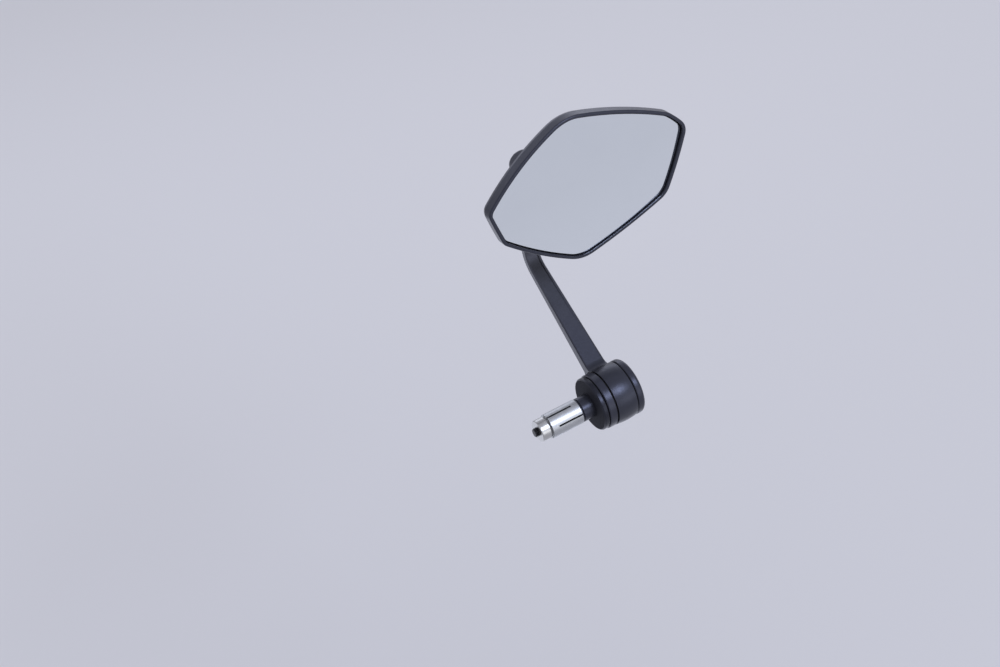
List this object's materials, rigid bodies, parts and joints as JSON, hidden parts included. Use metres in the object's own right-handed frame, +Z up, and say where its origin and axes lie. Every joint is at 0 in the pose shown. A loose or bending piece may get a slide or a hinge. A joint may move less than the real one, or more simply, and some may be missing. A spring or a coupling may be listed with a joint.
{
  "type": "motorcycle bar end mirror",
  "caption": "Bar end mirror: a turned expanding plug and collar carry a flat, bent, swinging arm with an angular convex mirror head on a friction ball joint.",
  "frame": {"origin": "centre of the spacer's face that seats against the end of the handlebar, on the bar's axis", "axes": "+X outward along the bar, +Y forward, +Z up, for a mirror at the right-hand end of the bar"},
  "size_m": [0.1571, 0.135, 0.1783],
  "materials": {
    "coated_alloy": "fine-textured satin black coat on turned and forged aluminium",
    "coated_shell": "fine-textured satin black coat on die-cast aluminium",
    "black_rubber": "dull black",
    "friction_fibre": "dull black",
    "dark_steel": "black oxide",
    "bright_steel": "plain zinc plated",
    "sleeve_alloy": "turned, bare",
    "bush_bronze": "turned, bare",
    "seat_plastic": "moulded, natural ivory",
    "foam": "closed-cell foam tape",
    "mirror_glass": "back-silvered convex glass"
  },
  "bodies": {
    "mount": {"spacer_washer": "black_rubber", "base_ring": "coated_alloy", "inner_friction_washer": "friction_fibre", "outer_friction_washer": "friction_fibre", "end_cap": "coated_alloy", "clamp_screw": "dark_steel", "expander_sleeve": "sleeve_alloy", "cone_nut": "bright_steel"},
    "arm": {"mirror_arm": "coated_alloy", "arm_bush": "bush_bronze", "ball_stud": "bright_steel", "stud_screw": "dark_steel", "stud_washer": "bright_steel"},
    "pan_seat": {"pressure_seat": "seat_plastic"},
    "tilt_seat": {"mouth_seat": "seat_plastic"},
    "head": {"head_shell": "coated_shell", "pressure_cup": "bright_steel", "disc_spring": "bright_steel", "clamp_plate": "bright_steel", "plate_screws": "bright_steel", "glass_pad": "foam", "mirror_glass": "mirror_glass"}
  },
  "joints": [
    {"name": "arm_swing", "type": "hinge", "parent": "mount", "child": "arm", "pos_m": [0, 0, 0], "axis": [1, 0, 0], "continuous": true},
    {"name": "head_pan", "type": "hinge", "parent": "arm", "child": "pan_seat", "pos_m": [0.0161, 0.09388, 0.11805], "axis": [0, 0.1253, 0.9921], "range_deg": [-12, 12]},
    {"name": "head_tilt", "type": "hinge", "parent": "pan_seat", "child": "tilt_seat", "pos_m": [0.0161, 0.09388, 0.11805], "axis": [1, 0, 0], "range_deg": [-4, 30]},
    {"name": "head_roll", "type": "hinge", "parent": "tilt_seat", "child": "head", "pos_m": [0.0161, 0.09388, 0.11805], "axis": [0, -0.9239, 0.3827], "range_deg": [-30, 30]}
  ]
}
